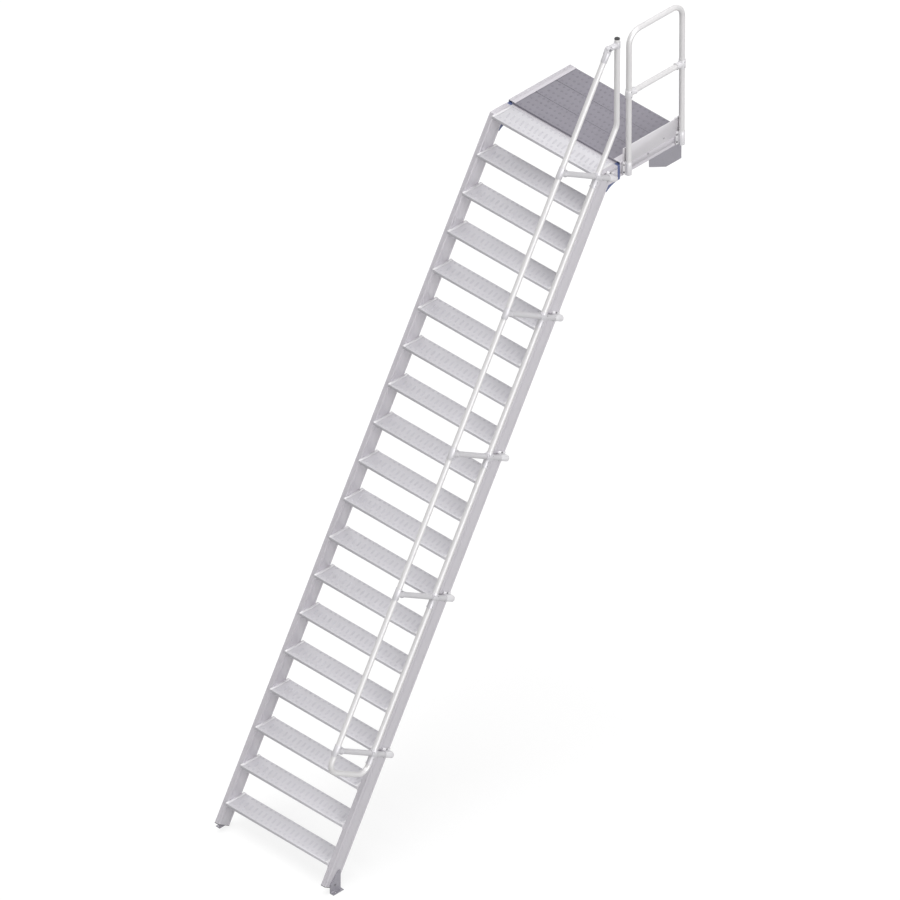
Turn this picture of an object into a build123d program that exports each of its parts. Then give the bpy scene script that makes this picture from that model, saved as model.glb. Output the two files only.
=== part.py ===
from build123d import *
import math
import os

os.makedirs("parts", exist_ok=True)

# Driving dimensions in millimetres and degrees
# X runs across the stair from left to right, Y runs up the stair from front to back, and Z is up.
# The origin is on the floor, under the middle of the left foot's flange.
slope = 60
rise = 250
tread_count = 19
tread_length = 1000
tread_deep = 182
nosing_y = -32
platform_height = 4750
platform_deep = 600
deck_step = 20

# Hollow bar of the side members and platform beams
bar_wide = 40
bar_deep = 120
bar_wall = 3
bar_corner = 2
edge_groove_wide = 3
edge_groove_deep = 1
edge_groove_pitch = 8
edge_groove_count = 4
side_groove_wide = 6
side_groove_deep = 1.2
side_groove_apart = 72
bar_below = 162
nosing_ahead = 18
head_above_tread = 5
fit_gap = 0.2
mitre_spare = 10
plug_long = 15
plug_wall = 4.5
end_plate_thick = 4

# Feet
foot_wide = 37
foot_long = 100
foot_front_high = 75
foot_top_high = 157
foot_top_long = 22
anchor_r = 6
anchor_in = 22
anchor_behind = 34
plate_thick = 6
plate_corner_r = 6
weld_r = 4

# Treads and their end brackets
sheet_thick = 3
tread_high = 25
tread_return = 15
fold_r = 5
strip_wide = 24
strip_thick = 2
leg_high = 42
leg_front = 12
leg_rear = 136
leg_shoulder = 12

# Platform
plank_count = 3
plank_gap = 2
plank_high = 20
ledge_wide = 24
ledge_thick = 3
joint_gap = 24
cross_beam_high = 80
cross_beam_wide = 40
toe_board_thick = 4
toe_board_low = -40
toe_board_high = 105
toe_board_inset = 26
toe_clip_long = 68
toe_clip_wall = 1
toe_clip_above = 9

# Moulded corner pieces
corner_web_wide = 36
corner_web_down = 50
corner_web_low_thick = 10
corner_web_end_thick = 4
corner_web_r = 190
corner_top_drop = 8
spigot_long = 30

# Tubes and fittings
tube_r = 20
tube_wall = 2
sleeve_r = 23
collar_r = 26
collar_half = 32
bead_r = 26
bead_long = 6
guard_bend_r = 100
loop_bend_r = 85
rail_out = 32
upper_rail_v = 476
knee_rail_v = 67
loop_u = 695
post_u = (861, 2043, 3103, 4158, 5209)
post_low_v = -136
upper_rail_top_u = 6081
knee_rail_top_u = 5147
tee_half = 41.5
tee_drop = 57
socket_r = 22
cross_long = 80
clamp_top_v = -60
clamp_long = 80
post_ear_reach = 36
guard_ear_reach = 42
ear_thick = 6

# Bent top post with its cap and swivel elbow
top_post_ahead = 2739
top_post_bend_r = 120
cap_above = 4
cap_edge_r = 3
cap_plug_long = 14
pivot_ahead = 84
lug_r = 20
tongue_half = 7
fork_half = 17
lug_gap = 0.4
pin_r = 5
fork_long = 96
stub_half = 23
stub_arm_r = 21

# Guard rail on the platform
guard_out = 25
guard_front = 58
guard_rear = 576
guard_top = 1080
guard_mid = 560
guard_foot = -110
guard_clamp_long = 107
guard_clamp_past = 2
mid_sleeve_start = 8
mid_sleeve_long = 60
mid_rail_gap = 4

# Wall brackets
bracket_long = 312
bracket_front_drop = 60
bracket_rear_drop = 136
bracket_flat = 150
wall_flange = 60
wall_hole_r = 7
wall_hole_in = 38
wall_hole_drop = (35, 105)

# Derived places
cos_s = math.cos(math.radians(slope))
sin_s = math.sin(math.radians(slope))
going = rise / math.tan(math.radians(slope))
left_out = foot_wide / 2
left_in = left_out + bar_wide
right_in = left_in + tread_length
right_out = right_in + bar_wide
first_top = platform_height - deck_step - (tread_count - 1) * rise
top_tread_y = nosing_y + (tread_count - 1) * going
head_end_y = top_tread_y + tread_deep
platform_y = head_end_y + joint_gap
platform_back = platform_y + platform_deep
head_top = platform_height - deck_step + head_above_tread
head_low = head_top - bar_deep
beam_low = platform_height - bar_deep
rail_x = right_out + rail_out
guard_x = right_out + guard_out
along = Vector(0, cos_s, sin_s)
out = Vector(0, -sin_s, cos_s)
left_middle = left_out + bar_wide / 2
right_middle = right_out - bar_wide / 2


def slope_point(x, u, v):
    """A point u along the slope from the first nosing and v out from the nosing line."""
    return Vector(x, nosing_y + u * cos_s - v * sin_s, first_top + u * sin_s + v * cos_s)


def side_plane(x):
    """A side view plane at x whose own axes run along the slope and out from it."""
    return Plane(origin=slope_point(x, 0, 0), x_dir=along, z_dir=(1, 0, 0))


def save(piece, name):
    """Labels a finished piece and writes its file."""
    piece.label = name
    export_step(piece, f"parts/{name}.step")


# Side members: a sloped bar and a short level head on each side, mitred together
front_u = (head_top - first_top + nosing_ahead * cos_s) / sin_s
back_u = (head_low - first_top + (nosing_ahead + bar_deep) * cos_s) / sin_s
mitre_top = slope_point(0, front_u, -nosing_ahead)
mitre_low = slope_point(0, back_u, -nosing_ahead - bar_deep)
mitre_normal = Vector(1, 0, 0).cross(mitre_top - mitre_low)
mitre_plane = Plane(origin=mitre_top, x_dir=(1, 0, 0), z_dir=mitre_normal)


def bar_section():
    """The hollow extruded section, with fine grooves on its edges and two on each side."""
    RectangleRounded(bar_wide, bar_deep, bar_corner)
    with GridLocations(edge_groove_pitch, bar_deep, edge_groove_count, 2):
        Rectangle(edge_groove_wide, 2 * edge_groove_deep, mode=Mode.SUBTRACT)
    with GridLocations(bar_wide, side_groove_apart, 2, 2):
        Rectangle(2 * side_groove_deep, side_groove_wide, mode=Mode.SUBTRACT)
    Rectangle(bar_wide - 2 * bar_wall, bar_deep - 2 * bar_wall, mode=Mode.SUBTRACT)


for side, x in (("left", left_middle), ("right", right_middle)):
    low_end = slope_point(x, -bar_below, -nosing_ahead - bar_deep / 2)
    with BuildPart() as stringer:
        with BuildSketch(Plane(origin=low_end, x_dir=(1, 0, 0), z_dir=along)):
            bar_section()
        extrude(amount=bar_below + front_u + mitre_spare)
        split(bisect_by=mitre_plane, keep=Keep.TOP)
    save(stringer.part, f"{side}_stringer")

    head_start = Vector(x, mitre_top.Y - mitre_spare, head_top - bar_deep / 2)
    with BuildPart() as head:
        with BuildSketch(Plane(origin=head_start, x_dir=(1, 0, 0), z_dir=(0, 1, 0))):
            bar_section()
        extrude(amount=head_end_y - head_start.Y)
        split(bisect_by=mitre_plane, keep=Keep.BOTTOM)
    save(head.part, f"{side}_stringer_head")

# Caps with a hollow plug that close the low ends of the side members
plug_wide = bar_wide - 2 * bar_wall - 2 * fit_gap
plug_deep = bar_deep - 2 * bar_wall - 2 * fit_gap
with BuildPart() as end_caps:
    for x in (left_middle, right_middle):
        low_end = slope_point(x, -bar_below, -nosing_ahead - bar_deep / 2)
        with BuildSketch(Plane(origin=low_end, x_dir=(1, 0, 0), z_dir=-along)):
            RectangleRounded(bar_wide, bar_deep, bar_corner)
        extrude(amount=end_plate_thick)
        with BuildSketch(Plane(origin=low_end, x_dir=(1, 0, 0), z_dir=along)):
            Rectangle(plug_wide, plug_deep)
            Rectangle(plug_wide - 2 * plug_wall, plug_deep - 2 * plug_wall, mode=Mode.SUBTRACT)
        extrude(amount=plug_long)
save(end_caps.part, "stringer_end_caps")

# Treads: each a folded sheet with rounded folds and returned lips
for step in range(tread_count):
    y = nosing_y + step * going
    top = first_top + step * rise
    tread_start = (left_in + sheet_thick, y, top)
    with BuildPart() as tread:
        with BuildSketch(Plane(origin=tread_start, x_dir=(0, 1, 0), z_dir=(1, 0, 0))) as fold:
            Rectangle(tread_deep, tread_high, align=(Align.MIN, Align.MAX))
            fillet(fold.vertices(), fold_r)
            with Locations((sheet_thick, -sheet_thick)):
                Rectangle(tread_deep - 2 * sheet_thick, tread_high - 2 * sheet_thick,
                          align=(Align.MIN, Align.MAX), mode=Mode.SUBTRACT)
            with Locations((tread_return, -tread_high)):
                Rectangle(tread_deep - 2 * tread_return, sheet_thick,
                          align=(Align.MIN, Align.MIN), mode=Mode.SUBTRACT)
        extrude(amount=tread_length - 2 * sheet_thick)
    save(tread.part, f"tread_{step + 1:02d}")

# End brackets: angles whose strip lies on a tread's end and whose leg is fixed to the side member
for side, face, way in (("left", left_in, 1), ("right", right_in, -1)):
    with BuildPart() as brackets:
        for step in range(tread_count):
            y = nosing_y + step * going
            top = first_top + step * rise
            with BuildSketch(Plane.YZ.offset(face)) as leg:
                with BuildLine():
                    Polyline((y, top + strip_thick), (y + tread_deep, top + strip_thick),
                             (y + tread_deep, top - leg_shoulder), (y + leg_rear, top - leg_high),
                             (y + leg_front, top - leg_high), (y, top - leg_high + leg_front), close=True)
                make_face()
            extrude(amount=way * sheet_thick)
            with BuildSketch(Plane.XY.offset(top)):
                with Locations((face + way * strip_wide / 2, y + tread_deep / 2)):
                    Rectangle(strip_wide, tread_deep)
            extrude(amount=strip_thick)
    save(brackets.part, f"{side}_tread_brackets")

# Moulded corner pieces: a web under the bend, a block in the joint and a spigot into both bars
web_start = slope_point(0, back_u - corner_web_down, -nosing_ahead - bar_deep)
web_low = slope_point(0, back_u - corner_web_down, -nosing_ahead - bar_deep - corner_web_low_thick)
web_end = (platform_y, head_low - corner_web_end_thick)
block_high = head_top - corner_top_drop - head_low
spigot_wide = bar_wide - 2 * bar_wall - 2 * fit_gap
spigot_high = head_top - beam_low - 2 * bar_wall - 2 * fit_gap
for side, x in (("left", left_middle), ("right", right_middle)):
    with BuildPart() as corner:
        with BuildSketch(Plane.YZ.offset(x)):
            with BuildLine():
                Polyline((web_low.Y, web_low.Z), (web_start.Y, web_start.Z), (mitre_low.Y, head_low),
                         (platform_y, head_low), web_end)
                RadiusArc(web_end, (web_low.Y, web_low.Z), -corner_web_r)
            make_face()
        extrude(amount=corner_web_wide / 2, both=True)
        block_middle = (x, head_end_y, head_low + block_high / 2)
        with BuildSketch(Plane(origin=block_middle, x_dir=(1, 0, 0), z_dir=(0, 1, 0))):
            RectangleRounded(bar_wide, block_high, bar_corner)
        extrude(amount=joint_gap)
        spigot_start = (x, head_end_y - spigot_long, (head_top + beam_low) / 2)
        with BuildSketch(Plane(origin=spigot_start, x_dir=(1, 0, 0), z_dir=(0, 1, 0))):
            Rectangle(spigot_wide, spigot_high)
        extrude(amount=2 * spigot_long + joint_gap)
    save(corner.part, f"{side}_corner_gusset")

# Platform beams: the same bar with two ledges inside that grip the ends of the deck
deck_top = platform_height - ledge_thick
for side, x, way in (("left", left_middle, 1), ("right", right_middle, -1)):
    beam_start = Vector(x, platform_y, platform_height - bar_deep / 2)
    with BuildPart() as beam:
        with BuildSketch(Plane(origin=beam_start, x_dir=(1, 0, 0), z_dir=(0, 1, 0))):
            bar_section()
        extrude(amount=platform_deep)
        ledge_edge = x + way * (bar_wide / 2 - bar_wall)
        for z in (deck_top, deck_top - plank_high - ledge_thick):
            with BuildSketch(Plane.XY.offset(z)):
                with Locations((ledge_edge + way * (ledge_wide + bar_wall) / 2, platform_y)):
                    Rectangle(ledge_wide + bar_wall, platform_deep, align=(Align.CENTER, Align.MIN))
            extrude(amount=ledge_thick)
    save(beam.part, f"platform_{side}_beam")

# Deck: folded planks side by side
plank_deep = (platform_deep - (plank_count - 1) * plank_gap) / plank_count
with BuildPart() as deck:
    for plank in range(plank_count):
        y = platform_y + plank * (plank_deep + plank_gap)
        with BuildSketch(Plane(origin=(left_in, y, deck_top), x_dir=(0, 1, 0), z_dir=(1, 0, 0))) as fold:
            Rectangle(plank_deep, plank_high, align=(Align.MIN, Align.MAX))
            fillet(fold.vertices().group_by(Axis.Y)[-1], sheet_thick)
            with Locations((sheet_thick, -sheet_thick)):
                Rectangle(plank_deep - 2 * sheet_thick, plank_high - 2 * sheet_thick,
                          align=(Align.MIN, Align.MAX), mode=Mode.SUBTRACT)
            with Locations((tread_return, -plank_high)):
                Rectangle(plank_deep - 2 * tread_return, sheet_thick,
                          align=(Align.MIN, Align.MIN), mode=Mode.SUBTRACT)
        extrude(amount=tread_length)
save(deck.part, "platform_deck")

# Cross beams: one closes the step in front of the deck, one carries its rear
ledge_low = deck_top - plank_high - ledge_thick
cross_beams = (("platform_front_beam", head_end_y, platform_height - deck_step, joint_gap),
               ("platform_rear_beam", platform_back - cross_beam_wide, ledge_low, cross_beam_wide))
for name, y, top, wide in cross_beams:
    with BuildPart() as cross_beam:
        with BuildSketch(Plane(origin=(left_in, y, top), x_dir=(0, 1, 0), z_dir=(1, 0, 0))):
            Rectangle(wide, cross_beam_high, align=(Align.MIN, Align.MAX))
            with Locations((bar_wall, -bar_wall)):
                Rectangle(wide - 2 * bar_wall, cross_beam_high - 2 * bar_wall,
                          align=(Align.MIN, Align.MAX), mode=Mode.SUBTRACT)
        extrude(amount=tread_length)
    save(cross_beam.part, name)

# Toe board on the right beam: an extruded board with a round top edge, and a clip on its rear end
toe_front = platform_y + toe_board_inset
toe_edge_r = toe_board_thick / 2
toe_flat_high = toe_board_high - toe_edge_r - toe_board_low
toe_plane = Plane(origin=(right_out, platform_back, platform_height), x_dir=(1, 0, 0), z_dir=(0, -1, 0))
with BuildPart() as toe_board:
    with BuildSketch(toe_plane):
        with Locations((0, toe_board_low)):
            Rectangle(toe_board_thick, toe_flat_high, align=(Align.MIN, Align.MIN))
        with Locations((toe_edge_r, toe_board_high - toe_edge_r)):
            Circle(toe_edge_r)
    extrude(amount=platform_back - toe_front)
save(toe_board.part, "toe_board")

toe_clip_wide = toe_board_thick + 2 * toe_clip_wall
with BuildPart() as toe_clip:
    with BuildSketch(toe_plane):
        with Locations((toe_edge_r, toe_board_high + toe_clip_above)):
            Rectangle(toe_clip_wide, 2 * toe_clip_above, align=(Align.CENTER, Align.MAX))
        with Locations((toe_edge_r, toe_board_high)):
            Rectangle(toe_board_thick, toe_clip_above, align=(Align.CENTER, Align.MAX), mode=Mode.SUBTRACT)
    extrude(amount=toe_clip_long)
save(toe_clip.part, "toe_board_clip")


# Handrail: five posts, an upper rail, a knee rail and the return bend that joins them
def tube_section():
    """The round tube's section."""
    Circle(tube_r)
    Circle(tube_r - tube_wall, mode=Mode.SUBTRACT)


def straight_tube(start, direction, length):
    """A straight round tube."""
    with BuildPart() as tube:
        with BuildSketch(Plane(origin=start, z_dir=direction)):
            tube_section()
        extrude(amount=length)
    return tube.part


for number, u in enumerate(post_u, start=1):
    post = straight_tube(slope_point(rail_x, u, post_low_v), out, upper_rail_v - sleeve_r - post_low_v)
    save(post, f"handrail_post_{number}")

rail_low_u = loop_u + loop_bend_r
upper_rail_start = slope_point(rail_x, rail_low_u, upper_rail_v)
save(straight_tube(upper_rail_start, along, upper_rail_top_u - rail_low_u), "upper_rail")

with BuildPart() as knee_rail:
    add(straight_tube(slope_point(rail_x, rail_low_u, knee_rail_v), along, knee_rail_top_u - rail_low_u))
    for u in post_u:
        with BuildSketch(Plane(origin=slope_point(rail_x, u, 0), z_dir=out)):
            Circle(tube_r)
        extrude(amount=upper_rail_v, mode=Mode.SUBTRACT)
save(knee_rail.part, "knee_rail")

with BuildPart() as return_bend:
    with BuildLine(side_plane(rail_x)) as loop_path:
        upper_turn = JernArc((rail_low_u, upper_rail_v), tangent=(-1, 0), radius=loop_bend_r, arc_size=90)
        Line(upper_turn @ 1, (loop_u, knee_rail_v + loop_bend_r))
        JernArc((loop_u, knee_rail_v + loop_bend_r), tangent=(0, -1), radius=loop_bend_r, arc_size=90)
    with BuildSketch(Plane(origin=upper_rail_start, z_dir=-along)):
        tube_section()
    sweep(path=loop_path.wire())
save(return_bend.part, "return_bend")

# Tees under the upper rail: a sleeve round the rail and a beaded socket for the post
with BuildPart() as rail_tees:
    for u in post_u:
        run_start = Plane(origin=slope_point(rail_x, u - tee_half, upper_rail_v), z_dir=along)
        branch = Plane(origin=slope_point(rail_x, u, upper_rail_v), x_dir=(1, 0, 0), z_dir=-out)
        with BuildSketch(run_start):
            Circle(sleeve_r)
        extrude(amount=2 * tee_half)
        with BuildSketch(branch):
            Circle(socket_r)
        extrude(amount=tee_drop)
        with BuildSketch(branch.offset(tee_drop - bead_long)):
            Circle(bead_r)
        extrude(amount=bead_long)
        with BuildSketch(run_start):
            Circle(tube_r)
        extrude(amount=2 * tee_half, mode=Mode.SUBTRACT)
        with BuildSketch(branch.offset(sleeve_r)):
            Circle(tube_r)
        extrude(amount=tee_drop, mode=Mode.SUBTRACT)
save(rail_tees.part, "rail_tees")


# Crosses where the knee rail meets the posts: a collar round the post and a sleeve along the rail
def cross(meeting, post_way, rail_way, start, sleeve_long):
    """A collar round a post and a sleeve along a rail, from a start to its length from the post's middle."""
    post_axis = Plane(origin=meeting, z_dir=post_way)
    rail_axis = Plane(origin=meeting, z_dir=rail_way)
    with BuildPart() as fitting:
        with BuildSketch(rail_axis.offset(start)):
            Circle(sleeve_r)
        extrude(amount=sleeve_long - start)
        with BuildSketch(post_axis.offset(-collar_half)):
            Circle(collar_r)
        extrude(amount=2 * collar_half)
        with BuildSketch(rail_axis.offset(sleeve_long - bead_long)):
            Circle(bead_r)
        extrude(amount=bead_long)
        with BuildSketch(rail_axis.offset(start)):
            Circle(tube_r)
        extrude(amount=sleeve_long - start, mode=Mode.SUBTRACT)
        with BuildSketch(post_axis.offset(-collar_half)):
            Circle(tube_r)
        extrude(amount=2 * collar_half, mode=Mode.SUBTRACT)
    return fitting.part


with BuildPart() as knee_sleeves:
    for u in post_u:
        add(cross(slope_point(rail_x, u, knee_rail_v), out, -along, -collar_half, cross_long))
save(knee_sleeves.part, "knee_sleeves")


# Saddle clamps that hold the tubes on the outer face of the stair
def saddle_section(seat, ears, reach):
    """A saddle's section: a hood round a tube whose centre is the seat distance up, and its ears."""
    Circle(sleeve_r)
    Rectangle(2 * sleeve_r, seat, align=(Align.CENTER, Align.MAX))
    with Locations((0, -seat)):
        for ear in ears:
            Rectangle(reach, ear_thick, align=(ear, Align.MIN))
        Rectangle(2 * reach, sleeve_r, align=(Align.CENTER, Align.MAX), mode=Mode.SUBTRACT)
    Circle(tube_r, mode=Mode.SUBTRACT)


with BuildPart() as post_clamps:
    for u in post_u:
        clamp_top = slope_point(rail_x, u, clamp_top_v)
        with BuildSketch(Plane(origin=clamp_top, x_dir=along, z_dir=-out)):
            saddle_section(rail_out, (Align.MIN, Align.MAX), post_ear_reach)
        extrude(amount=clamp_long)
save(post_clamps.part, "post_clamps")

# Bent top post: it leaves the knee rail along the slope and turns upright
top_post_y = nosing_y + top_post_ahead
top_post_z = guard_top + platform_height
knee_start = slope_point(rail_x, knee_rail_top_u, knee_rail_v)
knee_corner_u = (top_post_y - slope_point(0, 0, knee_rail_v).Y) / cos_s
knee_corner = slope_point(rail_x, knee_corner_u, knee_rail_v)
with BuildPart() as top_post:
    with BuildLine() as top_post_path:
        FilletPolyline(knee_start, knee_corner, (rail_x, top_post_y, top_post_z), radius=top_post_bend_r)
    with BuildSketch(Plane(origin=knee_start, z_dir=along)):
        tube_section()
    sweep(path=top_post_path.wire())
    with BuildSketch(Plane(origin=slope_point(rail_x, post_u[-1], 0), z_dir=out)):
        Circle(tube_r)
    extrude(amount=upper_rail_v - 2 * sleeve_r, mode=Mode.SUBTRACT)
save(top_post.part, "top_post")

# Cap with a rounded edge and a plug in the top post
with BuildPart() as post_cap:
    with BuildSketch(Plane(origin=(rail_x, top_post_y, top_post_z))):
        Circle(tube_r)
    extrude(amount=cap_above)
    fillet(post_cap.edges().sort_by(Axis.Z)[-1], cap_edge_r)
    with BuildSketch(Plane(origin=(rail_x, top_post_y, top_post_z))):
        Circle(tube_r - tube_wall - fit_gap)
    extrude(amount=-cap_plug_long)
save(post_cap.part, "post_cap")

# Swivel elbow: a stub with a tongue on the top post, and a fork with a pin on the upper rail's end
pivot_y = top_post_y - pivot_ahead
pivot_u = (pivot_y - slope_point(0, 0, upper_rail_v).Y) / cos_s
pivot = slope_point(rail_x, pivot_u, upper_rail_v)
arm_long = pivot_ahead - lug_r
with BuildPart() as stub:
    with BuildSketch(Plane(origin=(rail_x, top_post_y, pivot.Z - stub_half))):
        Circle(sleeve_r)
    extrude(amount=2 * stub_half)
    with BuildSketch(Plane(origin=(rail_x, top_post_y, pivot.Z), z_dir=(0, -1, 0))):
        Circle(stub_arm_r)
    extrude(amount=arm_long)
    with BuildSketch(Plane.YZ.offset(rail_x)):
        with Locations((pivot_y, pivot.Z)):
            Circle(lug_r)
            Rectangle(arm_long, 2 * lug_r, align=(Align.MIN, Align.CENTER))
            Circle(pin_r + lug_gap, mode=Mode.SUBTRACT)
    extrude(amount=tongue_half, both=True)
    with BuildSketch(Plane(origin=(rail_x, top_post_y, pivot.Z - 2 * stub_half))):
        Circle(tube_r)
    extrude(amount=4 * stub_half, mode=Mode.SUBTRACT)
save(stub.part, "elbow_stub")

slot_half = tongue_half + lug_gap
with BuildPart() as fork:
    with BuildSketch(Plane(origin=pivot - along * fork_long, z_dir=along)):
        Circle(sleeve_r)
    extrude(amount=fork_long - lug_r - lug_gap)
    with BuildSketch(side_plane(rail_x)):
        with Locations((pivot_u, upper_rail_v)):
            Circle(lug_r)
            Rectangle(2 * lug_r, 2 * lug_r, align=(Align.MAX, Align.CENTER))
    extrude(amount=fork_half, both=True)
    with BuildSketch(side_plane(rail_x)):
        with Locations((pivot_u, upper_rail_v)):
            Circle(lug_r + lug_gap)
    extrude(amount=slot_half, both=True, mode=Mode.SUBTRACT)
    with BuildSketch(Plane(origin=(rail_x, pivot_y, pivot.Z), x_dir=(1, 0, 0), z_dir=(0, 1, 0))):
        Rectangle(2 * slot_half, 2 * stub_arm_r)
    extrude(amount=pivot_ahead, mode=Mode.SUBTRACT)
    with BuildSketch(side_plane(rail_x)):
        with Locations((pivot_u, upper_rail_v)):
            Circle(pin_r)
    extrude(amount=fork_half, both=True)
    with BuildSketch(Plane(origin=slope_point(rail_x, upper_rail_top_u, upper_rail_v), z_dir=-along)):
        Circle(tube_r)
    extrude(amount=fork_long, mode=Mode.SUBTRACT)
save(fork.part, "swivel_elbow")

# Guard rail on the platform: one bent tube, with a mid rail held by two sleeves
guard_y = (platform_y + guard_front, platform_y + guard_rear)
guard_low_z = platform_height + guard_foot
guard_top_z = platform_height + guard_top - tube_r
with BuildPart() as guard_rail:
    with BuildLine() as guard_path:
        FilletPolyline((guard_x, guard_y[0], guard_low_z), (guard_x, guard_y[0], guard_top_z),
                       (guard_x, guard_y[1], guard_top_z), (guard_x, guard_y[1], guard_low_z),
                       radius=guard_bend_r)
    with BuildSketch(Plane(origin=(guard_x, guard_y[0], guard_low_z))):
        tube_section()
    sweep(path=guard_path.wire())
save(guard_rail.part, "guard_rail")

guard_mid_z = platform_height + guard_mid
mid_rail_start = (guard_x, guard_y[0] + tube_r + mid_rail_gap, guard_mid_z)
mid_rail_long = guard_y[1] - guard_y[0] - 2 * (tube_r + mid_rail_gap)
save(straight_tube(mid_rail_start, (0, 1, 0), mid_rail_long), "guard_mid_rail")

with BuildPart() as mid_sleeves:
    for y, way in ((guard_y[0], 1), (guard_y[1], -1)):
        meeting = (guard_x, y, guard_mid_z)
        add(cross(meeting, (0, 0, 1), (0, way, 0), mid_sleeve_start, mid_sleeve_long))
save(mid_sleeves.part, "guard_sleeves")

with BuildPart() as guard_clamps:
    for y, ears in ((guard_y[0], (Align.MIN, Align.MAX)), (guard_y[1], (Align.MIN,))):
        clamp_low = (guard_x, y, guard_low_z - guard_clamp_past)
        with BuildSketch(Plane(origin=clamp_low, x_dir=(0, -1, 0), z_dir=(0, 0, 1))):
            saddle_section(guard_out - toe_board_thick, ears, guard_ear_reach)
        extrude(amount=guard_clamp_long)
save(guard_clamps.part, "guard_clamps")

# Feet: a plate on the outer face of each side member, welded to a flange on the floor
foot_front = -foot_long / 2
foot_back = foot_long / 2
for side, face, way in (("left", left_out, -1), ("right", right_out, 1)):
    with BuildPart() as foot:
        with BuildSketch(Plane.YZ.offset(face)) as outline:
            with BuildLine():
                Polyline((foot_front, 0), (foot_front, foot_front_high),
                         (foot_back - foot_top_long, foot_top_high), (foot_back, foot_top_high),
                         (foot_back, 0), close=True)
            make_face()
            fillet(outline.vertices().group_by(Axis.Y)[-1], plate_corner_r)
        extrude(amount=way * plate_thick)
        with BuildSketch(Plane.XY) as flange:
            with Locations((face + way * foot_wide / 2, 0)):
                Rectangle(foot_wide, foot_long)
            with Locations((face + way * anchor_in, foot_front + anchor_behind)):
                Circle(anchor_r, mode=Mode.SUBTRACT)
        extrude(amount=plate_thick)
        weld_place = (face + way * plate_thick, 0, plate_thick)
        fillet(foot.edges().filter_by(Axis.Y).sort_by_distance(weld_place)[0], weld_r)
    save(foot.part, f"{side}_foot")

# Wall brackets: a side plate and a top plate under each beam, welded to a flange on the wall
for side, x, way in (("left", left_middle, 1), ("right", right_middle, -1)):
    face = x - way * bar_wide / 2
    with BuildPart() as bracket:
        with BuildSketch(Plane.YZ.offset(face)) as outline:
            with BuildLine():
                Polyline((platform_back - bracket_long, beam_low),
                         (platform_back - bracket_long, beam_low - bracket_front_drop),
                         (platform_back - bracket_flat, beam_low - bracket_rear_drop),
                         (platform_back, beam_low - bracket_rear_drop), (platform_back, beam_low), close=True)
            make_face()
        extrude(amount=way * plate_thick)
        with BuildSketch(Plane.XY.offset(beam_low)):
            with Locations((x, platform_back - bracket_long / 2)):
                Rectangle(bar_wide, bracket_long)
        extrude(amount=-plate_thick)
        with BuildSketch(Plane.XZ.offset(-platform_back)):
            with Locations((face + way * wall_flange / 2, beam_low - bracket_rear_drop / 2)):
                Rectangle(wall_flange, bracket_rear_drop)
            for drop in wall_hole_drop:
                with Locations((face + way * wall_hole_in, beam_low - drop)):
                    Circle(wall_hole_r, mode=Mode.SUBTRACT)
        extrude(amount=plate_thick)
        weld_place = (face + way * plate_thick, platform_back - bracket_long / 2, beam_low - plate_thick)
        fillet(bracket.edges().filter_by(Axis.Y).sort_by_distance(weld_place)[0], weld_r)
    save(bracket.part, f"{side}_wall_bracket")
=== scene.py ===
import math
import bmesh
import bpy
from mathutils import Matrix, Vector


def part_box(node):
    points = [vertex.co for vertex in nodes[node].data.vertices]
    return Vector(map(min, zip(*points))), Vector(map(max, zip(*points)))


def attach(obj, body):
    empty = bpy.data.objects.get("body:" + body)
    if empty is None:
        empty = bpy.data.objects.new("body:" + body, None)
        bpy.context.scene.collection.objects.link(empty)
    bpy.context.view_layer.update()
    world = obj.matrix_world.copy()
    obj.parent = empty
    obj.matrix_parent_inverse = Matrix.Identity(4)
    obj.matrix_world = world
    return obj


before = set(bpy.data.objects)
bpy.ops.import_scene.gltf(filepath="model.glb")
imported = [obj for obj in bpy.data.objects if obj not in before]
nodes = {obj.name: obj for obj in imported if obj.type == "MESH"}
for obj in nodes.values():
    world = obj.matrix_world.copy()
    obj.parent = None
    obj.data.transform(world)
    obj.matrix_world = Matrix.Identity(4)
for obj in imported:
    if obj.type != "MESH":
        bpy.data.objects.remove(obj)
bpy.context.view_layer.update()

# Side members
# Hollow aluminium extrusions with long grooves, cut square at the low end and mitred at the bend.
# Their skin is left as it comes from the press, with faint draw lines that run along each bar.
# The short level length at the top carries the last tread.
BAR_GREY = (0.59, 0.57, 0.605)
BAR_ROUGHNESS = (0.38, 0.52)
STAIR_SLOPE = math.radians(60)
DRAW_LINES_PER_METRE = 900
DRAW_LINE_BREAKS_PER_METRE = 3
EDGE_ROUND = 0.0012
EDGE_STEPS = 2
EDGE_ANGLE = math.radians(35)
SAME_POINT_REACH = 0.00005


def new_material(name):
    """A node material with its node tree and its shader."""
    material = bpy.data.materials.new(name)
    material.use_nodes = True
    tree = material.node_tree
    return material, tree, tree.nodes["Principled BSDF"]


def surface_place(tree, scale=(1, 1, 1), turn=0.0):
    """Places on the object in metres, turned about the X axis and scaled along each axis."""
    place = tree.nodes.new("ShaderNodeTexCoord")
    mapping = tree.nodes.new("ShaderNodeMapping")
    mapping.vector_type = "TEXTURE"
    mapping.inputs["Rotation"].default_value = (turn, 0, 0)
    stretch = tree.nodes.new("ShaderNodeVectorMath")
    stretch.operation = "MULTIPLY"
    stretch.inputs[1].default_value = scale
    tree.links.new(place.outputs["Object"], mapping.inputs["Vector"])
    tree.links.new(mapping.outputs["Vector"], stretch.inputs[0])
    return stretch.outputs[0]


def noise(tree, place, scale, detail=3.0):
    """A cloudy value from 0 to 1."""
    clouds = tree.nodes.new("ShaderNodeTexNoise")
    clouds.inputs["Scale"].default_value = scale
    clouds.inputs["Detail"].default_value = detail
    tree.links.new(place, clouds.inputs["Vector"])
    return clouds.outputs["Fac"]


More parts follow.
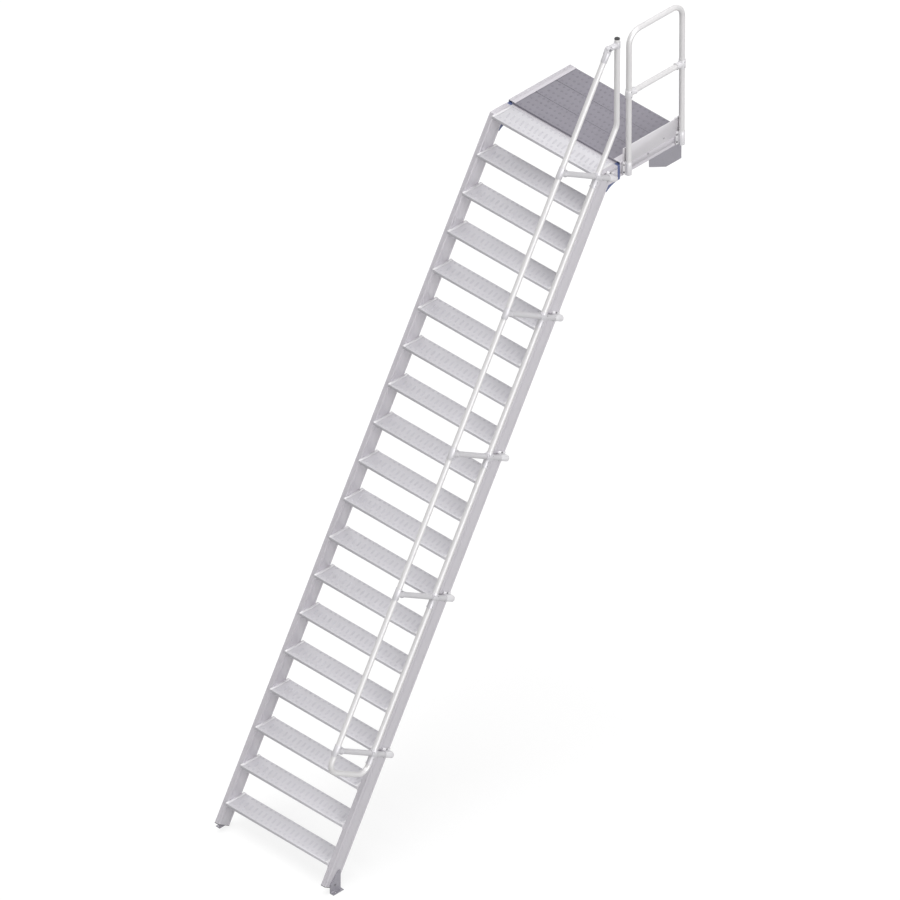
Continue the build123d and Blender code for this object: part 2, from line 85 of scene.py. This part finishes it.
def spread(tree, value, low, high, start=0.3, end=0.7):
    """A value spread from low to high, between two values of the input."""
    ramp = tree.nodes.new("ShaderNodeMapRange")
    ramp.inputs["From Min"].default_value = start
    ramp.inputs["From Max"].default_value = end
    ramp.inputs["To Min"].default_value = low
    ramp.inputs["To Max"].default_value = high
    tree.links.new(value, ramp.inputs["Value"])
    return ramp.outputs["Result"]


def tint(tree, value, colour, spare):
    """The colour, made a little darker and lighter by a value, into the shader."""
    mix = tree.nodes.new("ShaderNodeMix")
    mix.data_type = "RGBA"
    mix.inputs["A"].default_value = (*[c * (1 - spare) for c in colour], 1)
    mix.inputs["B"].default_value = (*[min(1, c * (1 + spare)) for c in colour], 1)
    tree.links.new(value, mix.inputs["Factor"])
    tree.links.new(mix.outputs["Result"], tree.nodes["Principled BSDF"].inputs["Base Color"])


def bump(tree, value, height):
    """Relief of a real height in metres from a value."""
    relief = tree.nodes.new("ShaderNodeBump")
    relief.inputs["Distance"].default_value = height
    tree.links.new(value, relief.inputs["Height"])
    tree.links.new(relief.outputs["Normal"], tree.nodes["Principled BSDF"].inputs["Normal"])


def extruded_aluminium(name, colour, turn):
    """Bare extruded aluminium whose draw lines run along a bar turned by an angle."""
    material, tree, shader = new_material(name)
    shader.inputs["Metallic"].default_value = 0.35
    stretch = (DRAW_LINES_PER_METRE, DRAW_LINE_BREAKS_PER_METRE, DRAW_LINES_PER_METRE)
    lines = noise(tree, surface_place(tree, stretch, turn), scale=1.0, detail=2.0)
    clouds = noise(tree, surface_place(tree), scale=9.0, detail=4.0)
    tint(tree, clouds, colour, spare=0.035)
    tree.links.new(spread(tree, lines, *BAR_ROUGHNESS), shader.inputs["Roughness"])
    bump(tree, lines, height=0.00004)
    return material


def finish_node(name, material, edge=EDGE_ROUND):
    """Gives a CAD node its finish and softly rounded edges."""
    piece = nodes[name]
    piece.data.materials.clear()
    piece.data.materials.append(material)
    if edge:
        weld = piece.modifiers.new("weld", "WELD")
        weld.merge_threshold = SAME_POINT_REACH
        bevel = piece.modifiers.new("edge", "BEVEL")
        bevel.width = edge
        bevel.segments = EDGE_STEPS
        bevel.limit_method = "ANGLE"
        bevel.angle_limit = EDGE_ANGLE
        bevel.harden_normals = True
    for face in piece.data.polygons:
        face.use_smooth = True


sloped_bar = extruded_aluminium("sloped bar aluminium", BAR_GREY, STAIR_SLOPE)
level_bar = extruded_aluminium("level bar aluminium", BAR_GREY, 0.0)
for side in ("left", "right"):
    finish_node(f"{side}_stringer", sloped_bar)
    finish_node(f"{side}_stringer_head", level_bar)

# Caps at the low ends of the side members
# Black moulded plastic with a fine matt grain. Each has a hollow plug, which is pressed into the
# bar's open end, and a flat plate that covers the cut.
BLACK = (0.016, 0.016, 0.018)


def moulded_plastic(name, colour):
    """Moulded plastic with a fine matt grain."""
    material, tree, shader = new_material(name)
    place = surface_place(tree)
    tint(tree, noise(tree, place, scale=60.0), colour, spare=0.06)
    grain = noise(tree, place, scale=2600.0, detail=2.0)
    tree.links.new(spread(tree, grain, low=0.4, high=0.55), shader.inputs["Roughness"])
    bump(tree, grain, height=0.00005)
    return material


black_plastic = moulded_plastic("black plastic", BLACK)
finish_node("stringer_end_caps", black_plastic)

# Treads
# Each is one folded aluminium sheet with returned lips. Grip studs are pressed up through its top
# 45 mm apart: a row of round ones at the front and the rear, and long slanted ones between them.
TREADS = 19
TREAD_GREY = (0.62, 0.61, 0.64)
# The studs are darker than the sheet: painted shade on their tops
TREAD_STUD_PAINTED_SHADE_GREY = (0.555, 0.545, 0.58)
ROUND_STUD = {"edge": 0.0105, "half_length": Vector((0, 0, 0))}
LONG_STUD = {"edge": 0.0085, "half_length": Vector((-0.006, 0.021, 0))}
# How far in from a stud's edge, and how high over the sheet: its foot, rim and sunk eye
STUD_PROFILE = ((0, -0.0004), (0.001, 0.0012), (0.002, 0.0016), (0.0045, 0.0016), (0.006, 0.0003))
STUD_SIDES = 16
STUD_PITCH = 0.045
PLAIN_END = 0.034
# Each row's way back from the sheet's front edge, where it starts at the left, and its stud
TREAD_ROWS = ((0.030, 0.008, ROUND_STUD), (0.088, 0.027, LONG_STUD), (0.165, 0.008, ROUND_STUD))


def sheet_aluminium(name, colour, spare):
    """Rolled aluminium sheet, dull, slightly clouded and lined along its length."""
    material, tree, shader = new_material(name)
    shader.inputs["Metallic"].default_value = 0.3
    clouds = noise(tree, surface_place(tree), scale=14.0, detail=5.0)
    lines = noise(tree, surface_place(tree, (60, 1400, 1400)), scale=1.0, detail=2.0)
    tint(tree, clouds, colour, spare)
    tree.links.new(spread(tree, lines, low=0.42, high=0.58), shader.inputs["Roughness"])
    bump(tree, lines, height=0.00003)
    return material


def ring(radius, height, sides, flats=0):
    """Points round a circle, or round a polygon with that many flats, at a height."""
    points = []
    for k in range(sides):
        angle = 2 * math.pi * k / sides
        reach = radius
        if flats:
            half = math.pi / flats
            reach = radius * math.cos(half) / math.cos(angle % (2 * half) - half)
        points.append(Vector((reach * math.cos(angle), reach * math.sin(angle), height)))
    return points


def drawn_out(points, half_length):
    """A ring's points parted by half a length each way, which makes a long stud's outline."""
    return [point + half_length if point.dot(half_length) > 0 else point - half_length
            for point in points]


def turned_part(mesh, place, rings):
    """A closed part from rings of points, lowest first."""
    rows = [[mesh.verts.new(place @ point) for point in points] for points in rings]
    count = len(rows[0])
    for low, high in zip(rows, rows[1:]):
        for k in range(count):
            mesh.faces.new((low[k], low[(k + 1) % count], high[(k + 1) % count], high[k]))
    mesh.faces.new(rows[-1])
    mesh.faces.new(reversed(rows[0]))


def finished_mesh(mesh, name, material):
    """The mesh with its material, shaded smooth over its shallow edges."""
    bmesh.ops.recalc_face_normals(mesh, faces=mesh.faces)
    data = bpy.data.meshes.new(name)
    mesh.to_mesh(data)
    mesh.free()
    data.materials.append(material)
    data.shade_smooth()
    data.set_sharp_from_angle(angle=EDGE_ANGLE)
    return data


def fix_piece(name, data, place=(0, 0, 0)):
    """Puts a mesh on the stair as a piece of its own."""
    piece = bpy.data.objects.new(name, data)
    piece.location = place
    bpy.context.scene.collection.objects.link(piece)
    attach(piece, "root")


def grip_studs(name, length, rows, material):
    """Rows of pressed studs with a raised rim and a sunk eye, from a sheet's near left corner."""
    studs = bmesh.new()
    for depth, first, stud in rows:
        rings = [drawn_out(ring(stud["edge"] - inward, high, STUD_SIDES), stud["half_length"])
                 for inward, high in STUD_PROFILE]
        x = first
        while x < length - PLAIN_END:
            if x > PLAIN_END:
                turned_part(studs, Matrix.Translation((x, depth, 0)), rings)
            x += STUD_PITCH
    return finished_mesh(studs, name, material)


tread_sheet = sheet_aluminium("tread sheet", TREAD_GREY, 0.03)
# The studs' darker colour is painted shade
tread_stud_painted_shade = sheet_aluminium("tread studs with painted shade", TREAD_STUD_PAINTED_SHADE_GREY, 0.05)
tread_low, tread_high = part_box("tread_01")
tread_length = tread_high[0] - tread_low[0]
tread_studs = grip_studs("tread studs", tread_length, TREAD_ROWS, tread_stud_painted_shade)
for number in range(1, TREADS + 1):
    name = f"tread_{number:02d}"
    finish_node(name, tread_sheet)
    low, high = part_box(name)
    fix_piece(f"{name}_studs", tread_studs, (low[0], low[1], high[2]))

# Tread brackets
# Short aluminium angles under the ends of each tread, with a strip that lies over its end.
# Two flanged hexagon bolts hold each leg to the side member, below the tread's top.
BRACKET_WHITE = (0.72, 0.71, 0.73)
BOLT_ZINC = (0.27, 0.265, 0.28)
BOLT_BELOW_TREAD = 0.034
BOLTS_BEHIND_NOSING = (0.034, 0.118)
BRACKET_LEG_THICK = 0.003
SMALL_BOLT = {"flange": 0.0064, "corner": 0.0056, "high": 0.005}
BOLT_SIDES = 24
HEXAGON = 6
# Shares of a bolt's flange radius and of its height, from the face that the bolt sits on
BOLT_FLANGE = ((1, 0), (1, 0.168), (0.94, 0.28))
# Shares of its corner radius and of its height, and the flats there: neck, hexagon, chamfer, dish
BOLT_HEAD = ((1.01, 0.28, 0), (1, 0.28, HEXAGON), (1, 0.88, HEXAGON), (0.84, 1, 0), (0.55, 1, 0),
             (0.45, 0.95, 0))


def plain_aluminium(name, colour, roughness):
    """Milled or cast aluminium with an even, finely grained skin."""
    material, tree, shader = new_material(name)
    shader.inputs["Metallic"].default_value = 0.35
    clouds = noise(tree, surface_place(tree), scale=22.0)
    grain = noise(tree, surface_place(tree), scale=1800.0, detail=2.0)
    tint(tree, clouds, colour, spare=0.025)
    tree.links.new(spread(tree, grain, *roughness), shader.inputs["Roughness"])
    bump(tree, grain, height=0.00002)
    return material


def plated_steel(name, colour):
    """Zinc plated steel, smoother and more even than hot-dip zinc."""
    material, tree, shader = new_material(name)
    shader.inputs["Metallic"].default_value = 0.75
    clouds = noise(tree, surface_place(tree), scale=260.0)
    tint(tree, clouds, colour, spare=0.12)
    tree.links.new(spread(tree, clouds, low=0.26, high=0.42), shader.inputs["Roughness"])
    bump(tree, clouds, height=0.00003)
    return material


def facing(point, way):
    """A place at a point whose own Z axis points a given way."""
    return Matrix.Translation(point) @ Vector(way).to_track_quat("Z", "Y").to_matrix().to_4x4()


def hex_bolt(mesh, place, flange, corner, high):
    """A hexagon bolt's head on its flange, with a chamfered top and a shallow dish."""
    rings = [ring(flange * wide, high * up, BOLT_SIDES) for wide, up in BOLT_FLANGE]
    rings += [ring(corner * wide, high * up, BOLT_SIDES, flats) for wide, up, flats in BOLT_HEAD]
    turned_part(mesh, place, rings)


bracket_aluminium = plain_aluminium("bracket aluminium", BRACKET_WHITE, (0.34, 0.46))
bolt_zinc = plated_steel("bolt zinc", BOLT_ZINC)
for side, way in (("left", 1), ("right", -1)):
    finish_node(f"{side}_tread_brackets", bracket_aluminium)
    bar_low, bar_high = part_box(f"{side}_stringer")
    bar_inner_face = bar_high[0] if way > 0 else bar_low[0]
    leg_inner_face = bar_inner_face + way * BRACKET_LEG_THICK
    bolts = bmesh.new()
    for number in range(1, TREADS + 1):
        low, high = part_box(f"tread_{number:02d}")
        for behind in BOLTS_BEHIND_NOSING:
            place = (leg_inner_face, low[1] + behind, high[2] - BOLT_BELOW_TREAD)
            hex_bolt(bolts, facing(place, (way, 0, 0)), **SMALL_BOLT)
    bolts = finished_mesh(bolts, f"{side} tread bolts", bolt_zinc)
    fix_piece(f"{side}_tread_bolts", bolts)

# Corner pieces
# Blue moulded corners fill the bend's underside and the joint between the head and the platform.
# Low socket screws in the outer faces of the bars hold their spigots.
BLUE = (0.095, 0.12, 0.25)
SCREW_STEEL = (0.42, 0.415, 0.43)
JOINT_SCREW_IN = 0.015
JOINT_SCREW_ASIDE = 0.03
JOINT_SCREW = {"radius": 0.0055, "high": 0.0012, "socket": 0.0024}
SCREW_SUNK = 0.0006


def socket_screw(mesh, place, radius, high, socket):
    """A low round screw head with a hexagon socket sunk into it."""
    rim, chamfer, mouth, floor_wide, floor_up = 0.5, 0.88, 1.15, 0.96, 0.25
    turned_part(mesh, place, [
        ring(radius, -SCREW_SUNK, BOLT_SIDES),
        ring(radius, high * rim, BOLT_SIDES),
        ring(radius * chamfer, high, BOLT_SIDES),
        ring(socket * mouth, high, BOLT_SIDES),
        ring(socket, high, BOLT_SIDES, HEXAGON),
        ring(socket * floor_wide, high * floor_up, BOLT_SIDES, HEXAGON),
    ])


blue_plastic = moulded_plastic("blue plastic", BLUE)
screw_steel = plated_steel("screw steel", SCREW_STEEL)
joint_screws = bmesh.new()
for side, way in (("left", -1), ("right", 1)):
    finish_node(f"{side}_corner_gusset", blue_plastic)
    head_low, head_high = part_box(f"{side}_stringer_head")
    beam_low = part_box(f"platform_{side}_beam")[0]
    middle = (head_high[2] + beam_low[2]) / 2
    face = head_low[0] if way < 0 else head_high[0]
    screwed = [head_high[1] - JOINT_SCREW_IN]
    if side == "left":
        screwed.append(beam_low[1] + JOINT_SCREW_IN)
    for y in screwed:
        for z in (middle - JOINT_SCREW_ASIDE, middle + JOINT_SCREW_ASIDE):
            socket_screw(joint_screws, facing((face, y, z), (way, 0, 0)), **JOINT_SCREW)
joint_screws = finished_mesh(joint_screws, "joint screws", screw_steel)
fix_piece("joint_screws", joint_screws)

# Platform frame
# The same extrusion as the side members at both sides, with two cross beams between them. One
# hexagon bolt sits in each side beam's outer face, just before its middle.
FRAME_BOLT = {"flange": 0.0085, "corner": 0.0075, "high": 0.0065}
FRAME_BOLT_BEFORE_MIDDLE = 0.027
for end in ("front", "rear"):
    finish_node(f"platform_{end}_beam", level_bar)
frame_bolts = bmesh.new()
for side, way in (("left", -1), ("right", 1)):
    finish_node(f"platform_{side}_beam", level_bar)
    low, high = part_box(f"platform_{side}_beam")
    face = low[0] if way < 0 else high[0]
    y = (low[1] + high[1]) / 2 - FRAME_BOLT_BEFORE_MIDDLE
    place = (face, y, (low[2] + high[2]) / 2)
    hex_bolt(frame_bolts, facing(place, (way, 0, 0)), **FRAME_BOLT)
frame_bolts = finished_mesh(frame_bolts, "frame bolts", screw_steel)
fix_piece("platform_frame_bolts", frame_bolts)

# Platform deck
# Three folded planks of the treads' sheet, anodised darker, gripped between ledges of the beams.
# Round grip studs are pressed in rows that stand half a column apart.
DECK_GREY = (0.246, 0.234, 0.27)
# The studs are darker than the deck sheet: painted shade on their tops
DECK_STUD_PAINTED_SHADE_GREY = (0.222, 0.21, 0.245)
DECK_ROWS = ((0.024, 0.010, ROUND_STUD), (0.075, 0.033, ROUND_STUD), (0.131, 0.010, ROUND_STUD),
             (0.178, 0.033, ROUND_STUD))
PLANKS = 3
PLANK_GAP = 0.002
deck_sheet = sheet_aluminium("deck sheet", DECK_GREY, 0.05)
deck_stud_painted_shade = sheet_aluminium("deck studs with painted shade", DECK_STUD_PAINTED_SHADE_GREY, 0.06)
finish_node("platform_deck", deck_sheet)
low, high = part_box("platform_deck")
plank_step = (high[1] - low[1] + PLANK_GAP) / PLANKS
deck_studs = grip_studs("deck studs", high[0] - low[0], DECK_ROWS, deck_stud_painted_shade)
for plank in range(PLANKS):
    place = (low[0], low[1] + plank * plank_step, high[2])
    fix_piece(f"deck_plank_{plank + 1}_studs", deck_studs, place)

# Toe board
# An extruded board on the right beam, with a round top edge and a pressed clip on its rear end.
# A socket screw behind the guard rail's front clamp holds it.
# Lighter than the bars: partly the board's own tone, partly painted light against the guard rail's
# shadow
TOE_BOARD_TONE_AND_PAINTED_LIGHT = (0.73, 0.71, 0.74)
TOE_SCREW_BEHIND_FRONT = 0.422
TOE_SCREW_BELOW_DECK = 0.002
TOE_BOARD_THICK = 0.004
CLIP_EDGE_ROUND = 0.0003
TOE_SCREW = {"radius": 0.0065, "high": 0.003, "socket": 0.0028}
toe_board_tone_and_painted_light = extruded_aluminium("toe board aluminium", TOE_BOARD_TONE_AND_PAINTED_LIGHT, 0.0)
finish_node("toe_board", toe_board_tone_and_painted_light)
finish_node("toe_board_clip", bracket_aluminium, CLIP_EDGE_ROUND)
low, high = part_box("platform_right_beam")
toe_screw = bmesh.new()
y = low[1] + TOE_SCREW_BEHIND_FRONT
place = (high[0] + TOE_BOARD_THICK, y, high[2] - TOE_SCREW_BELOW_DECK)
socket_screw(toe_screw, facing(place, (1, 0, 0)), **TOE_SCREW)
toe_screw = finished_mesh(toe_screw, "toe board screw", screw_steel)
fix_piece("toe_board_screw", toe_screw)

# Handrail tubes
# Round satin aluminium tube, 40 mm across, with a return bend at the low end. The posts are the
# same tube, coloured darker as painted shade, and faint draw lines run along each tube.
POSTS = 5
TUBE_WHITE = (0.70, 0.69, 0.695)
# The posts' darker grey is painted shade on the same tube
POST_PAINTED_SHADE_GREY = (0.59, 0.58, 0.60)
NO_EDGES = 0
rail_tube = extruded_aluminium("rail tube", TUBE_WHITE, STAIR_SLOPE)
post_tube = extruded_aluminium("post tube", POST_PAINTED_SHADE_GREY, STAIR_SLOPE + math.pi / 2)
for name in ("upper_rail", "knee_rail", "return_bend"):
    finish_node(name, rail_tube, NO_EDGES)
for number in range(1, POSTS + 1):
    finish_node(f"handrail_post_{number}", post_tube, NO_EDGES)

# Handrail fittings
# Cast aluminium tees and crosses slide over the tubes, and small set screws lock them from the
# outer side. Saddle clamps with two bolted ears hold the posts to the right side member.
FITTING_GREY = (0.62, 0.61, 0.635)
TUBE_R = 0.020
SLEEVE_R = 0.023
COLLAR_R = 0.026
KNEE_TO_UPPER_RAIL = 0.409
TEE_SCREW_ASIDE = 0.028
SLEEVE_SCREWS_DOWN = (0.036, 0.066)
COLLAR_SCREW_ASIDE = 0.022
COLLAR_SCREW_TURN = math.radians(30)
SET_SCREW = {"radius": 0.0042, "high": 0.0012, "socket": 0.0022}
CLAMP_BOLT = {"flange": 0.0066, "corner": 0.0058, "high": 0.0055}
CLAMP_BELOW_UPPER_RAIL = 0.576
EAR_BOLT_ASIDE = 0.0292
EAR_THICK = 0.006
CASTING_EDGE_ROUND = 0.0008
OUTER = Vector((1, 0, 0))
ALONG = Vector((0, math.cos(STAIR_SLOPE), math.sin(STAIR_SLOPE)))
OUT = Vector((0, -math.sin(STAIR_SLOPE), math.cos(STAIR_SLOPE)))
collar_way = OUTER * math.cos(COLLAR_SCREW_TURN) + ALONG * math.sin(COLLAR_SCREW_TURN)
cast_fitting = plain_aluminium("cast fitting", FITTING_GREY, (0.4, 0.55))
for name in ("rail_tees", "knee_sleeves"):
    finish_node(name, cast_fitting, CASTING_EDGE_ROUND)
finish_node("post_clamps", bracket_aluminium, CASTING_EDGE_ROUND)
outer_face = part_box("right_stringer")[1][0]
set_screws = bmesh.new()
clamp_bolts = bmesh.new()
for number in range(1, POSTS + 1):
    low, high = (Vector(corner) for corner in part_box(f"handrail_post_{number}"))
    upright = (high.z - low.z) / 2 - TUBE_R * math.sin(STAIR_SLOPE)
    rail_point = (low + high) / 2 + OUT * (upright / math.cos(STAIR_SLOPE) + SLEEVE_R)
    knee_point = rail_point - OUT * KNEE_TO_UPPER_RAIL
    for aside in (-TEE_SCREW_ASIDE, TEE_SCREW_ASIDE):
        point = rail_point + ALONG * aside + OUTER * SLEEVE_R
        socket_screw(set_screws, facing(point, OUTER), **SET_SCREW)
    for down in SLEEVE_SCREWS_DOWN:
        point = knee_point - ALONG * down + OUTER * SLEEVE_R
        socket_screw(set_screws, facing(point, OUTER), **SET_SCREW)
    for aside in (-COLLAR_SCREW_ASIDE, COLLAR_SCREW_ASIDE):
        point = knee_point + OUT * aside + collar_way * COLLAR_R
        socket_screw(set_screws, facing(point, collar_way), **SET_SCREW)
    clamp_point = rail_point - OUT * CLAMP_BELOW_UPPER_RAIL
    clamp_point.x = outer_face + EAR_THICK
    for aside in (-EAR_BOLT_ASIDE, EAR_BOLT_ASIDE):
        hex_bolt(clamp_bolts, facing(clamp_point + ALONG * aside, OUTER), **CLAMP_BOLT)
set_screws = finished_mesh(set_screws, "set screws", screw_steel)
fix_piece("handrail_set_screws", set_screws)
clamp_bolts = finished_mesh(clamp_bolts, "clamp bolts", bolt_zinc)
fix_piece("post_clamp_bolts", clamp_bolts)

# Top post and swivel elbow
# A bent tube stands at the head of the stair. A stub on it and a fork on the upper rail meet in a
# swivel elbow, which one bolt with a nut clamps at the stair's slope. A black cap closes the post.
PIVOT_BEHIND_LUG = 0.020
FORK_HALF = 0.017
ELBOW_EDGE_ROUND = 0.0006
PIVOT_BOLT = {"flange": 0.0095, "corner": 0.0078, "high": 0.0065}
upright_tube = extruded_aluminium("upright tube", TUBE_WHITE, math.pi / 2)
finish_node("top_post", upright_tube, NO_EDGES)
finish_node("post_cap", black_plastic, NO_EDGES)
for name in ("elbow_stub", "swivel_elbow"):
    finish_node(name, cast_fitting, ELBOW_EDGE_ROUND)
low, high = (Vector(corner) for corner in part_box("elbow_stub"))
pivot = (low + high) / 2
pivot.y = low.y + PIVOT_BEHIND_LUG
pivot_bolt = bmesh.new()
for way in (-1, 1):
    hex_bolt(pivot_bolt, facing(pivot + OUTER * way * FORK_HALF, OUTER * way), **PIVOT_BOLT)
pivot_bolt = finished_mesh(pivot_bolt, "pivot bolt", bolt_zinc)
fix_piece("elbow_pivot_bolt", pivot_bolt)

# Guard rail
# One tube bent twice stands beside the platform, with a mid rail between two cross sleeves.
# Its feet sit in saddle clamps bolted through the toe board into the right beam.
GUARD_CLAMP_HIGH = 0.107
GUARD_BOLT_ABOVE_MIDDLE = 0.03
GUARD_EAR_BOLT_ASIDE = 0.033
level_tube = extruded_aluminium("level tube", TUBE_WHITE, 0.0)
finish_node("guard_rail", upright_tube, NO_EDGES)
finish_node("guard_mid_rail", level_tube, NO_EDGES)
for name in ("guard_sleeves", "guard_clamps"):
    finish_node(name, bracket_aluminium, CASTING_EDGE_ROUND)
guard_low, guard_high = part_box("guard_rail")
sleeve_low, sleeve_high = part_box("guard_sleeves")
guard_x = (guard_low[0] + guard_high[0]) / 2
front_y = guard_low[1] + TUBE_R
rear_y = guard_high[1] - TUBE_R
clamp_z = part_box("guard_clamps")[0][2] + GUARD_CLAMP_HIGH / 2
sleeve_z = (sleeve_low[2] + sleeve_high[2]) / 2
ear_face = outer_face + TOE_BOARD_THICK + EAR_THICK
guard_bolts = bmesh.new()
guard_screws = bmesh.new()
for y, ears in ((front_y, (-1, 1)), (rear_y, (-1,))):
    for ear in ears:
        for z in (clamp_z - GUARD_BOLT_ABOVE_MIDDLE, clamp_z + GUARD_BOLT_ABOVE_MIDDLE):
            place = (ear_face, y + ear * GUARD_EAR_BOLT_ASIDE, z)
            hex_bolt(guard_bolts, facing(place, OUTER), **CLAMP_BOLT)
    for aside in (-COLLAR_SCREW_ASIDE, COLLAR_SCREW_ASIDE):
        place = (guard_x + COLLAR_R, y, sleeve_z + aside)
        socket_screw(guard_screws, facing(place, OUTER), **SET_SCREW)
guard_bolts = finished_mesh(guard_bolts, "guard bolts", bolt_zinc)
fix_piece("guard_clamp_bolts", guard_bolts)
guard_screws = finished_mesh(guard_screws, "guard set screws", screw_steel)
fix_piece("guard_set_screws", guard_screws)

# Feet
# A side plate and a floor flange of steel, welded together and galvanised after it. One hexagon
# bolt through the plate holds the side member, and the flange keeps an open anchor hole.
ZINC = (0.31, 0.30, 0.335)
SPANGLES_PER_METRE = 140
FOOT_PLATE_THICK = 0.006
FOOT_BOLT_Y = -0.003
FOOT_BOLT_HIGH = 0.054
FOOT_BOLT = {"flange": 0.0095, "corner": 0.0075, "high": 0.0065}


def galvanised_steel(name):
    """Hot-dip zinc with pale and dark spangles."""
    material, tree, shader = new_material(name)
    shader.inputs["Metallic"].default_value = 0.4
    place = surface_place(tree)
    cells = tree.nodes.new("ShaderNodeTexVoronoi")
    cells.inputs["Scale"].default_value = SPANGLES_PER_METRE
    tree.links.new(place, cells.inputs["Vector"])
    grey = tree.nodes.new("ShaderNodeSeparateColor")
    tree.links.new(cells.outputs["Color"], grey.inputs["Color"])
    tint(tree, grey.outputs["Red"], ZINC, spare=0.07)
    dullness = spread(tree, grey.outputs["Red"], low=0.36, high=0.55, start=0, end=1)
    tree.links.new(dullness, shader.inputs["Roughness"])
    bump(tree, noise(tree, place, scale=300.0), height=0.00006)
    return material


zinc = galvanised_steel("galvanised steel")
foot_bolts = bmesh.new()
for side, way in (("left", -1), ("right", 1)):
    finish_node(f"{side}_foot", zinc)
    low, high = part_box(f"{side}_stringer")
    face = low[0] if way < 0 else high[0]
    place = (face + way * FOOT_PLATE_THICK, FOOT_BOLT_Y, FOOT_BOLT_HIGH)
    hex_bolt(foot_bolts, facing(place, (way, 0, 0)), **FOOT_BOLT)
foot_bolts = finished_mesh(foot_bolts, "foot bolts", bolt_zinc)
fix_piece("foot_bolts", foot_bolts)

# Wall brackets
# Galvanised steel like the feet, bolted up into the side beams from below. Their wall flanges
# keep open holes for anchors.
WALL_BOLTS_BEFORE_WALL = (0.070, 0.250)
WALL_BOLT_INWARD = 0.005
TOP_PLATE_THICK = 0.006
wall_bolts = bmesh.new()
for side, inward in (("left", 1), ("right", -1)):
    finish_node(f"{side}_wall_bracket", zinc)
    low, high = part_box(f"platform_{side}_beam")
    bar_low, bar_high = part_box(f"{side}_stringer")
    x = (bar_low[0] + bar_high[0]) / 2 + inward * WALL_BOLT_INWARD
    for before in WALL_BOLTS_BEFORE_WALL:
        place = (x, high[1] - before, low[2] - TOP_PLATE_THICK)
        hex_bolt(wall_bolts, facing(place, (0, 0, -1)), **FOOT_BOLT)
wall_bolts = finished_mesh(wall_bolts, "wall bracket bolts", bolt_zinc)
fix_piece("wall_bracket_bolts", wall_bolts)

# Room
# A plain white floor under a white sky, with three broad soft lamps: one from above, one from the
# handrail's side, and a weak one from behind.
FLOOR_SIZE = 160.0
FLOOR_LIT = 0.2
FLOOR_GLOW = 1 - FLOOR_LIT + 0.03
SKY = 0.32
# Each lamp's name, the way to it, its power and how many degrees of the sky it fills
LAMPS = (("above", (0, -0.2, 0.98), 0.56, 40), ("side", (0.966, -0.16, 0.2), 0.66, 40),
         ("behind", (-0.64, 0.64, 0.426), 0.2, 90))

floor_mesh = bpy.data.meshes.new("floor")
half = FLOOR_SIZE / 2
floor_corners = [(-half, -half, 0), (half, -half, 0), (half, half, 0), (-half, half, 0)]
floor_mesh.from_pydata(floor_corners, [], [(0, 1, 2, 3)])
floor = bpy.data.objects.new("floor", floor_mesh)
bpy.context.scene.collection.objects.link(floor)


def seen_directly(tree):
    """1 for rays that show the background, straight or through a reflection or glass."""
    path = tree.nodes.new("ShaderNodeLightPath")
    both = tree.nodes.new("ShaderNodeMath")
    both.operation = "MAXIMUM"
    every = tree.nodes.new("ShaderNodeMath")
    every.operation = "MAXIMUM"
    tree.links.new(path.outputs["Is Camera Ray"], both.inputs[0])
    tree.links.new(path.outputs["Is Glossy Ray"], both.inputs[1])
    tree.links.new(both.outputs[0], every.inputs[0])
    tree.links.new(path.outputs["Is Transmission Ray"], every.inputs[1])
    return every.outputs[0]


floor_material, tree, shader = new_material("white floor")
shader.inputs["Base Color"].default_value = (FLOOR_LIT, FLOOR_LIT, FLOOR_LIT, 1)
shader.inputs["Roughness"].default_value = 1
shader.inputs["Specular IOR Level"].default_value = 0
shader.inputs["Emission Color"].default_value = (1, 1, 1, 1)
glow = tree.nodes.new("ShaderNodeMath")
glow.operation = "MULTIPLY"
glow.inputs[1].default_value = FLOOR_GLOW
tree.links.new(seen_directly(tree), glow.inputs[0])
tree.links.new(glow.outputs[0], shader.inputs["Emission Strength"])
floor_mesh.materials.append(floor_material)

world = bpy.data.worlds.new("white sky")
world.use_nodes = True
bpy.context.scene.world = world
sky = world.node_tree.nodes["Background"]
strength = world.node_tree.nodes.new("ShaderNodeMapRange")
strength.inputs["To Min"].default_value = SKY
strength.inputs["To Max"].default_value = 1
world.node_tree.links.new(seen_directly(world.node_tree), strength.inputs["Value"])
world.node_tree.links.new(strength.outputs["Result"], sky.inputs["Strength"])
sky.inputs["Color"].default_value = (1, 1, 1, 1)

for name, way, power, wide in LAMPS:
    sun = bpy.data.lights.new(name, "SUN")
    sun.energy = power * math.pi
    sun.angle = math.radians(wide)
    light = bpy.data.objects.new(name, sun)
    light.rotation_mode = "QUATERNION"
    light.rotation_quaternion = Vector(way).to_track_quat("Z", "Y")
    bpy.context.scene.collection.objects.link(light)

# Camera
# A very long lens, so that edges stay parallel as in a drawing. It looks from 45 degrees round and
# 35.3 degrees up, and the stair fills the frame from corner to corner.
LENS = 1400.0
SENSOR = 36.0
VIEW_WIDTH = 6.199
LOOK_AT = Vector((0.5605, 1.6597, 2.6218))
BACK = Vector((1, -1, 1)).normalized()
camera_data = bpy.data.cameras.new("camera")
camera_data.lens = LENS
camera_data.sensor_width = SENSOR
distance = VIEW_WIDTH * LENS / SENSOR
camera_data.clip_start = distance / 2
camera_data.clip_end = distance * 2
camera = bpy.data.objects.new("camera", camera_data)
camera.location = LOOK_AT + BACK * distance
camera.rotation_mode = "QUATERNION"
camera.rotation_quaternion = (-BACK).to_track_quat("-Z", "Y")
bpy.context.scene.collection.objects.link(camera)
bpy.context.scene.camera = camera
bpy.context.scene.view_settings.view_transform = "Standard"
